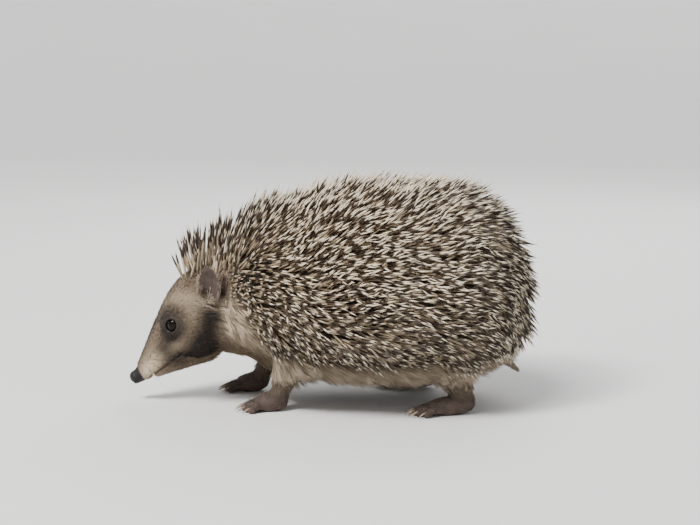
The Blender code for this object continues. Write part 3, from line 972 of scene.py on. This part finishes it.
def skin_material():
    material, tree, shader = new_material("hedgehog_skin", 0.7, specular_ior_level=0.28)
    colour = blend_colour(tree, mark(tree, "spiny"), (0.20, 0.145, 0.10), (0.035, 0.026, 0.02))
    colour = under_markings_and_shade(tree, colour)
    blotches = step_between(tree, 0.3, 0.7, noise(tree, 260.0, 3.0))
    foot = blend_colour(tree, blotches, (0.052, 0.036, 0.030), (0.095, 0.064, 0.052))
    ear = blend_colour(tree, blotches, (0.045, 0.032, 0.027), (0.085, 0.058, 0.048))
    nose = blend_colour(tree, blotches, (0.006, 0.005, 0.005), (0.013, 0.011, 0.010))
    for part, paint in (("foot", foot), ("ear", ear), ("lid", (0.012, 0.009, 0.008)), ("nose", nose)):
        colour = blend_colour(tree, mark(tree, part), colour, paint)
    wet = calculate(tree, "MAXIMUM", mark(tree, "nose"), mark(tree, "lid"))
    link(tree, calculate(tree, "MULTIPLY_ADD", wet, -0.26, 0.72), shader.inputs["Roughness"])
    smooth_lid = calculate(tree, "MULTIPLY_ADD", mark(tree, "lid"), -0.85, 1.0)
    height = calculate(tree, "MULTIPLY", relief(tree, 2600.0, 700.0, 0.55), smooth_lid)
    bump(tree, shader, height, 0.0003)
    return painted(material, colour)


def eye_material():
    material, tree, _ = new_material("hedgehog_eye", 0.035, specular_ior_level=0.15)
    iris = step_between(tree, 0.10, 0.16, mark(tree, "along"))
    colour = blend_colour(tree, iris, (0.0015, 0.0012, 0.001), (0.010, 0.0055, 0.003))
    streaks = calculate(tree, "MULTIPLY", noise(tree, 1800.0, 2.0), 0.6)
    return painted(material, blend_colour(tree, streaks, colour, (0.003, 0.002, 0.0015)))


def claw_material():
    material, tree, shader = new_material("hedgehog_claw", 0.38, specular_ior_level=0.5)
    tipwards = step_between(tree, 0.1, 0.9, mark(tree, "along"))
    colour = blend_colour(tree, tipwards, (0.16, 0.10, 0.07), (0.42, 0.33, 0.24))
    streaks = calculate(tree, "MULTIPLY", noise(tree, 900.0, 3.0), 0.4)
    bump(tree, shader, relief(tree, 3000.0, 900.0, 0.3), 0.0001)
    return painted(material, blend_colour(tree, streaks, colour, (0.10, 0.07, 0.05)))


SPINE_MATERIAL = strand_material(
    "hedgehog_spines", ((0.50, 0.40, 0.275), (0.048, 0.031, 0.021), (0.68, 0.585, 0.44)),
    (0.44, 0.74), 0.10, 0.5, 0.42, marked=False, specular_ior_level=0.4,
)  # fmt: skip
BODY_FUR_MATERIAL = strand_material(
    "hedgehog_body_fur", ((0.10, 0.072, 0.05), (0.26, 0.195, 0.135), (0.50, 0.41, 0.305)),
    (0.15, 0.55), 0.4, 0.6, 0.6, specular_ior_level=0.3, sheen_weight=0.15,
)  # fmt: skip
FACE_FUR_MATERIAL = strand_material(
    "hedgehog_face_fur", ((0.12, 0.085, 0.058), (0.25, 0.18, 0.12), (0.43, 0.34, 0.24)),
    (0.2, 0.6), 0.35, 0.6, 0.6, specular_ior_level=0.3, sheen_weight=0.1,
)  # fmt: skip
WHISKER_MATERIAL = strand_material(
    "hedgehog_whiskers", ((0.02, 0.015, 0.012), (0.03, 0.022, 0.018), (0.12, 0.09, 0.07)),
    (0.3, 0.7), 0.3, 0.2, 0.4, marked=False,
)  # fmt: skip


def wear(piece, material, slot, *nodes):
    """Gives a piece its body and its material, and hides the solids that it stands for; slot is not
    used.
    """
    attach(piece, "root")
    piece.data.materials.append(material)
    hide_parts(*nodes)


# ---- the skin

FLESH_NODES = [name for name in frame["nodes"] if not name.startswith("eye_")]
FEET = tuple(LIMBS)
SKIN_BOX = (-75, -122, -3), (75, 122, 125)
SKIN_TRIANGLES = 190000


def build_skin():
    """Makes the skin, and returns its full surface for the coat's roots."""
    points, faces = mesh_form(body_form, *SKIN_BOX, CELL)
    full = build_mesh("skin_full", points, [faces])
    group = full.vertex_groups.new(name="plain")
    h = in_head(points)
    head, feet = ramp(78, 92, h[:, 1]), ramp(10, 16, points[:, 2])
    plain = np.where(h[:, 2] < -30, feet, np.minimum(head, feet))
    levels = np.round((1 - plain) * 4).astype(int)
    for level in range(5):
        group.add(np.nonzero(levels == level)[0].tolist(), 1.0 - 0.22 * level, "REPLACE")
    thin = full.modifiers.new("thin", "DECIMATE")
    thin.ratio = SKIN_TRIANGLES / (2 * len(faces))
    thin.vertex_group = "plain"
    thin.vertex_group_factor = 1.0
    mesh = bpy.data.meshes.new_from_object(full.evaluated_get(bpy.context.evaluated_depsgraph_get()))
    bpy.data.objects.remove(full)
    p = points_of(mesh)
    dark, pale = markings_and_shade(p)
    nose, lid, ear, foot = bare_parts(p)
    spiny = ramp(-2, 4, above_edge(p)) * ramp(13, 17, ear_gap(p))
    finished(mesh, dark=dark, pale=pale, nose=nose, lid=lid, ear=ear, foot=foot, spiny=spiny)
    wear(show("skin", mesh), skin_material(), "body_fur", *FLESH_NODES)
    return Skin(points, faces)


SKIN = build_skin()

# ---- eyes and claws


def build_eye(name, side):
    """A glossy eyeball with a low cornea, which fills the opening between the lids."""
    rings, sides, cornea = 24, 48, 0.12
    axis, middle = EYE_AXIS * vec(side, 1, 1), EYE * vec(side, 1, 1)
    level = unit(np.cross(axis, vec(0, 0, 1)))
    upright = np.cross(level, axis)
    angle = math.pi * np.arange(1, rings) / rings
    k = np.arange(sides)
    turn = (math.tau * k / sides)[:, None]
    around = np.cos(turn) * level + np.sin(turn) * upright
    ball = np.cos(angle)[:, None, None] * axis + np.sin(angle)[:, None, None] * around
    ball *= (EYE_RADIUS + cornea * np.exp(-((angle / 0.9) ** 2)))[:, None, None]
    poles = axis * (EYE_RADIUS + cornea), -axis * EYE_RADIUS
    local = np.concatenate([poles[:1], ball.reshape(-1, 3), poles[1:]])
    after = (k + 1) % sides
    rim, last = len(local) - 1 - sides, 0 * k + len(local) - 1
    front, back = np.stack([0 * k, 1 + after, 1 + k], 1), np.stack([rim + k, rim + after, last], 1)
    faces = [1 + band_faces(rings - 1, sides)[:, [0, 3, 2, 1]], front, back]
    if side < 0:
        faces = [part[:, ::-1] for part in faces]
    along = np.concatenate([[0], np.repeat(angle / math.pi, sides), [1]])
    piece = build_mesh(name + "_ball", from_head(middle + local), faces, along=along)
    wear(piece, EYE_MATERIAL, "eye", name)


def build_claws():
    paths, sizes = [], []
    profile = (0.95, 1.0, 0.97, 0.9, 0.8, 0.66, 0.5, 0.3)
    share = np.arange(len(profile) + 1)[:, None] / len(profile)
    curve = vec(0, 0, 1) * (1.3 * share - 3.7 * share**2)
    for name, (foot, *_) in LIMBS.items():
        for k in range(TOES):
            root, ahead = toe_line(name, k)
            start = root + ahead * (foot["toe"] - 0.9) + vec(0, 0, 2.9)
            reach = ahead * foot["claw"] * share
            paths.append(start - ahead * 0.8 + reach + curve)
            sizes.append(0.82 if abs(k - 2) < 2 else 0.7)
    paths = np.array(paths)
    paths[:, :, 2] = np.maximum(paths[:, :, 2], 0.35)
    claws = strand_piece("claws", paths, profile, sizes, 10, limb_uv)
    wear(claws, CLAW_MATERIAL, "claw", *FEET)


EYE_MATERIAL, CLAW_MATERIAL = eye_material(), claw_material()
for side, name in ((1, "eye_left"), (-1, "eye_right")):
    build_eye(name, side)
build_claws()

# ---- the coat

SPINE_SPACING, SPINE_RADIUS = 2.8, 0.6
# shares of a strand's radius at its rings, from the root on
SPINE_PROFILE = (0.72, 0.98, 1.0, 1.0, 0.9, 0.62)
LONG_HAIR, SHORT_HAIR = (0.8, 1.0, 0.85, 0.55), (0.9, 0.85)
# the map's layout, the material and the slot
SPINE_LOOK = body_uv, SPINE_MATERIAL, "spines"
BODY_LOOK = body_uv, BODY_FUR_MATERIAL, "body_fur"
LIMB_LOOK = limb_uv, BODY_FUR_MATERIAL, "body_fur"
FACE_LOOK = face_uv, FACE_FUR_MATERIAL, "face_fur"
WHISKER_LOOK = face_uv, WHISKER_MATERIAL, "face_fur"


def coat(name, paths, profile, thickness, tint, look, *nodes, sides=3, parts=1):
    """Strands as a few pieces, from front to rear."""
    place_uv, material, slot = look
    thickness = np.broadcast_to(thickness, len(paths))
    order = np.argsort(paths[:, 0, 1], kind="stable")
    for k, share in enumerate(np.array_split(order, parts)):
        piece = strand_piece(
            f"{name}_{k + 1}", paths[share], profile, thickness[share], sides, place_uv, tint=tint[share]
        )
        wear(piece, material, slot, *nodes)


def lean_of(direction, normal):
    """The direction as its lie along the skin and its angle from the normal."""
    lean = np.arccos(np.clip((direction * normal).sum(1), -1, 1))
    return along_skin(direction, normal), lean


def crest_share(p):
    """1 over the forehead, fading to 0 behind the head and down its sides."""
    _, behind, up = in_head(p).T
    return ramp(122, 96, behind) * ramp(-2, 10, up)


def brow_share(p):
    """1 on the crest's front rows, whose spines stand apart, fading to 0 at the nape."""
    return crest_share(p) * ramp(98, 80, in_head(p)[:, 1])


def spine_directions(p, n, rng):
    """Spines lie back over the body, and stand like a crown over the forehead."""
    count = len(p)
    rear = ramp(55, 108, p[:, 1])
    lie = along_skin(vec(0.45 * n[:, 0], 1, 0.12 - 1.6 * rear - 0.2 * (1 - n[:, 2])), n)
    lie = turned(lie, n, rng.normal(0, 0.24, count) + 0.26 * drift(p, 38.0, 5))
    lean = np.radians(55 + 7 * ramp(16, 0, above_edge(p)) + 5 * ramp(0.6, 0.0, n[:, 2]) + 4 * rear)
    lean = (lean + rng.normal(0, 0.17, count) + 0.1 * drift(p, 30.0, 6))[:, None]
    direction = n * np.cos(lean) + lie * np.sin(lean)
    forward = np.interp(in_head(p)[:, 1], (60, 66, 73, 84, 104), (-0.38, -0.28, -0.08, 0.16, 0.6))
    crown = vec(0.95 * n[:, 0], forward, 1) + rng.normal(0, 0.15, (count, 3))
    weight = crest_share(p)[:, None]
    return unit(unit(crown) * weight + direction * (1 - weight))


def build_spines():
    def wanted(p):
        apart = 1 - 0.42 * brow_share(p)
        return ramp(-1.5, 2.5, above_edge(p)) * ramp(10.0, 11.5, ear_gap(p)) * apart

    rng = default_rng(11)
    root, normal = SKIN.scatter(wanted, SPINE_SPACING, 12)
    count, (_, y, z) = len(root), root.T
    lie, lean = lean_of(spine_directions(root, normal, rng), normal)
    length = 14.5 + 9.5 * ramp(0, 15, above_edge(root)) - 4.5 * ramp(60, 105, y)
    crest = crest_share(root)
    tall = 19.5 + 9.0 * ramp(60, 76, in_head(root)[:, 1])
    length = (length * (1 - crest) + tall * crest) * rng.uniform(0.85, 1.08, count)
    length = length * (0.62 + 0.38 * ramp(11, 19, ear_gap(root)))
    bend = rng.normal(0.07, 0.06, count)
    paths = strand_paths(root, normal, lie, lean, length, bend, len(SPINE_PROFILE))
    thick = SPINE_RADIUS * rng.uniform(0.85, 1.1, count) * (1 + 0.2 * brow_share(root))
    # painted highlight: spines on the upper middle of the flank get paler tints, and the others look
    # darker beside them, for how the light falls; each spine's tint is part random and part this painted
    # highlight
    light = ramp(45, 75, z) * ramp(-62, -20, y) * ramp(85, 50, y)
    tint = 0.46 * rng.random(count) + 0.54 * light
    paths = kept_out(paths, normal)
    coat("spines", paths, SPINE_PROFILE, thick, tint, SPINE_LOOK, "spine_coat", sides=5, parts=3)


def head_share(p):
    """1 on the head and 0 on the body and legs."""
    _, behind, up = in_head(p).T
    return ramp(90, 74, behind) * ramp(-40, -32, up)


def ruff_share(p):
    """1 on the long fur behind the cheeks and under the ears."""
    _, behind, up = in_head(p).T
    return ramp(56, 72, behind) * ramp(15, 5, up) * head_share(p)


def fur_directions(p, n, rng, jitter):
    """Fur runs back from the nose, round the eyes, down the flanks and legs, and out along the feet."""
    h, (x, y, z) = in_head(p), p.T
    side = np.sign(x)
    sweep = (ramp(44, 72, h[:, 1]) * ramp(6, 16, np.abs(h[:, 0])))[:, None]
    around = from_head(unit(one_side(h) - EYE) * mirror(side)) - NOSE_TIP
    head = HEAD_BACK + vec(0, 0.1, -1.0) * sweep
    head = head + around * 1.2 * np.exp(-((eye_gap(p) / 8) ** 2))[:, None]
    want = vec(0.1 * side, 1, -1.1 * (1 - ramp(-0.2, -0.8, n[:, 2])) - 0.05)
    for share, way in (
        (ramp(-30, -50, y), vec(0, 0.6, -0.9)),  # chest
        (ramp(80, 108, y), vec(0, 0.4, -1.2)),  # rump
        (ramp(30, 18, z), vec(0, 0.3, -1)),  # legs
        (ramp(12, 7, z), vec(0, -1, -0.35)),  # feet
        (head_share(p), head),
        (bare_parts(p)[2], EAR_UP * mirror(side)),
    ):
        want = want * (1 - share[:, None]) + way * share[:, None]
    turn = rng.normal(0, jitter, len(p)) + 0.16 * drift(p, 16.0, 8)
    return turned(along_skin(want, n), n, turn)


def leg_share(p):
    """1 on the legs and feet, fading to 0 where they join the body."""
    gap, z = np.min([leg_form(name, p) for name in LIMBS], axis=0), p[:, 2]
    return np.maximum(ramp(5, 1, gap) * ramp(34, 22, z), ramp(14, 10, z))


def fur_length(p):
    """Longest on the skirt and ruff, and shortest on the nose, the lids and the feet."""
    _, y, z = p.T
    face = 1.3 + 3.4 * ramp(8, 46, in_head(p)[:, 1]) + 13.0 * ruff_share(p)
    face = face * (0.4 + 0.6 * ramp(5.0, 10.0, eye_gap(p)))
    leg, head, ear = leg_share(p), head_share(p), bare_parts(p)[2]
    body = (20.0 - 8.0 * ramp(24, 17, z)) * (1 - leg) + (2.4 + 4.5 * ramp(6, 30, z)) * leg
    body = body * (1 - 0.84 * ramp(90, 97, y) * ramp(38, 30, z))
    length = face * head + body * (1 - head)
    length = length * (1 - 0.45 * ramp(17, 12, ear_gap(p)))
    return length * (1 - ear) + 1.9 * ear


def bare(p):
    """Where no fur grows; inside the ear it is thin."""
    nose, lid, ear, _ = bare_parts(p)
    e = in_ear(one_side(p))
    inside = ear * (1 - ramp(0.84, 0.95, rim_share(e))) * ramp(-4.2, -3.4, e[:, 2])
    return np.maximum(np.maximum(nose, lid), 0.93 * inside)


def build_fur(name, where, look, *nodes, spacing, profile, thickness, lock, lean, bend, seed, parts):
    """Hairs wherever where(points) wants them. lock is the width and the strength of their locks."""
    rng = default_rng(seed)
    root, normal = SKIN.scatter(where, spacing, seed + 1)
    count = len(root)
    lie = fur_directions(root, normal, rng, 0.16)
    length = fur_length(root) * rng.uniform(0.66, 1.14, count)
    angle, curl = np.radians(lean) + rng.normal(0, 0.1, count), bend + rng.normal(0, 0.1, count)
    paths = strand_paths(root, normal, lie, angle, length, curl, len(profile), sink=0.3)
    paths = kept_out(gathered(paths, *lock, seed + 2), normal, room=0.2)
    paths[:, :, 2] = np.maximum(paths[:, :, 2], 0.3)
    size = thickness * (0.5 + 0.5 * np.clip(length / 6, 0, 1.2)) * rng.uniform(0.8, 1.15, count)
    tint = np.clip(0.5 + 0.28 * rng.normal(size=count) + 0.15 * drift(root, 9.0, 9), 0, 1)
    coat(name, paths, profile, size, tint, look, *nodes, parts=parts)


def above_fur(p):
    """1 where the fur grows and 0 among the spines."""
    return ramp(2.5, -1.0, above_edge(p))


def on_body(p):
    body = 1 - head_share(p) * (1 - ruff_share(p))
    return above_fur(p) * body * ramp(14, 17, p[:, 2]) * (1 - bare(p))


def on_face(p):
    edge = np.maximum(above_fur(p), ramp(17.0, 13.0, ear_gap(p)))
    return edge * head_share(p) * (1 - ruff_share(p)) * (1 - bare(p))


def on_limbs(p):
    return (1 - head_share(p)) * ramp(17, 14, p[:, 2]) * ramp(2.2, 4.5, p[:, 2])


def build_whiskers():
    rng = default_rng(31)
    places, aims = [], []
    for side in (1, -1):
        for row in range(4):
            for k in range(5):
                places.append((side * 7.5, 11.5 + 3.3 * k + 0.8 * row, 3.4 - 2.2 * row))
                aims.append((side * 0.95, 0.15 + 0.16 * k, 0.25 - 0.28 * row))
    root, normal = settled(from_head(places), times=4, reach=np.inf)
    aim = from_head(aims) - NOSE_TIP
    lie, lean = lean_of(unit(aim + rng.normal(0, 0.1, aim.shape)), normal)
    length, bend = rng.uniform(15, 27, len(root)), rng.normal(0.3, 0.12, len(root))
    profile = (1, 0.95, 0.88, 0.8, 0.7, 0.58, 0.44, 0.28)
    paths = strand_paths(root, normal, lie, np.minimum(lean, 1.2), length, bend, len(profile))
    coat("whiskers", paths, profile, 0.11, rng.random(len(root)), WHISKER_LOOK, "head", sides=4)


def build_ear_fringe():
    """Fine pale hairs along the rims of the ears."""
    rng, count = default_rng(41), 620
    turn = rng.uniform(-0.75, math.pi + 1.1, count)
    out = rng.uniform(0.86, 1.0, count)
    side = mirror(np.where(rng.random(count) < 0.5, 1.0, -1.0))
    across, up = np.cos(turn), np.sin(turn)
    edge = vec(EAR_WIDE * across * out, EAR_HIGH * up * out, rng.uniform(-1, 1, count))
    aim = vec(across * 0.8, up * 0.7 + 0.75, rng.normal(0.1, 0.35, count))
    axes = np.stack([EAR_ACROSS, EAR_UP, EAR_FACING])
    root, normal = settled((EAR_MIDDLE + edge @ axes) * side, times=5, reach=1.5)
    lie, lean = lean_of(unit(aim @ axes) * side, normal)
    length, bend = rng.uniform(1.4, 3.0, count), rng.normal(0.1, 0.2, count)
    profile = (0.9, 0.9, 0.6)
    paths = strand_paths(root, normal, lie, np.minimum(lean, 1.35), length, bend, len(profile), sink=0.3)
    tint = rng.uniform(0.5, 1, count)
    coat("ear_fringe", paths, profile, 0.085, tint, FACE_LOOK, "ear_left", "ear_right")


build_spines()
build_ear_fringe()
build_fur(
    "body_fur", on_body, BODY_LOOK, "trunk", "neck", spacing=0.86, profile=LONG_HAIR, thickness=0.17,
    lock=(4.8, 0.62), lean=60, bend=0.25, seed=13, parts=4,
)  # fmt: skip
build_fur(
    "face_fur", on_face, FACE_LOOK, "head", "lower_jaw", spacing=0.56, profile=SHORT_HAIR,
    thickness=0.12, lock=(2.2, 0.35), lean=66, bend=0.25, seed=16, parts=3,
)  # fmt: skip
build_fur(
    "limb_fur", on_limbs, LIMB_LOOK, *FEET, spacing=0.75, profile=SHORT_HAIR, thickness=0.12,
    lock=(2.0, 0.3), lean=66, bend=0.2, seed=19, parts=1,
)  # fmt: skip
build_whiskers()

# ---- floor, light and camera


def build_floor():
    """A flat pale floor whose far edge rises all round in a soft curve."""
    flat, curve, turns = (0.6, 2.0, 5.0), 8.0, 96  # the radii are metres
    rise = np.linspace(0.03, 0.9, 30)
    out = np.concatenate([flat, flat[-1] + curve * np.sin(rise)])[:, None]
    height = np.concatenate([0 * np.array(flat), curve - curve * np.cos(rise)])[:, None]
    k = np.arange(turns)
    turn = math.tau * k / turns
    rings = np.stack([out * np.cos(turn), out * np.sin(turn), height + 0 * turn], -1)
    points = np.concatenate([[(0, 0, 0)], rings.reshape(-1, 3)]) / MM
    middle = np.stack([0 * k, 1 + k, 1 + (k + 1) % turns], 1)
    floor = build_mesh("floor", points, [middle, 1 + band_faces(len(out), turns)])
    material, tree, _ = new_material("pale_floor", 0.85, specular_ior_level=0.2)
    colour = blend_colour(tree, noise(tree, 3.0, 2.0), (0.74, 0.735, 0.72), (0.78, 0.775, 0.76))
    floor.data.materials.append(painted(material, colour))


def add_light(name, kind, energy, place, aim=(0, 0, 0.06)):
    light = bpy.data.lights.new(name, kind)
    light.energy = energy
    show(name, light, place, Vector(aim) - Vector(place))
    return light


build_floor()
key = add_light("key", "AREA", 18.0, (0.75, -0.75, 1.15))
key.size, key.color = 0.32, (1.0, 0.985, 0.96)
add_light("back", "AREA", 8.0, (-0.9, 0.3, 0.9)).size = 0.8
sun = add_light("sky_panel", "SUN", 3.0, (0, 0, 0), (-0.55, 0.45, -1.0))
sun.angle = math.radians(28)
world = bpy.data.worlds.new("studio")
world.use_nodes = True
sky = world.node_tree.nodes["Background"].inputs
sky["Color"].default_value = (0.95, 0.97, 1.0, 1.0)
sky["Strength"].default_value = 0.6
bpy.context.scene.world = world

CAMERA_DISTANCE = 0.945
CAMERA_HEIGHT = math.radians(8.0)
low, high = (np.array(corner) for corner in CAD_BOX)
AIM = (low + high) / 2 + vec(0, 0.011, 0.015)
camera = bpy.data.cameras.new("camera")
camera.lens = 85.0
camera.sensor_width = 36.0
camera.clip_start = 0.01
back = vec(math.cos(CAMERA_HEIGHT), 0, math.sin(CAMERA_HEIGHT))
bpy.context.scene.camera = show("camera", camera, AIM + back * CAMERA_DISTANCE, -back)
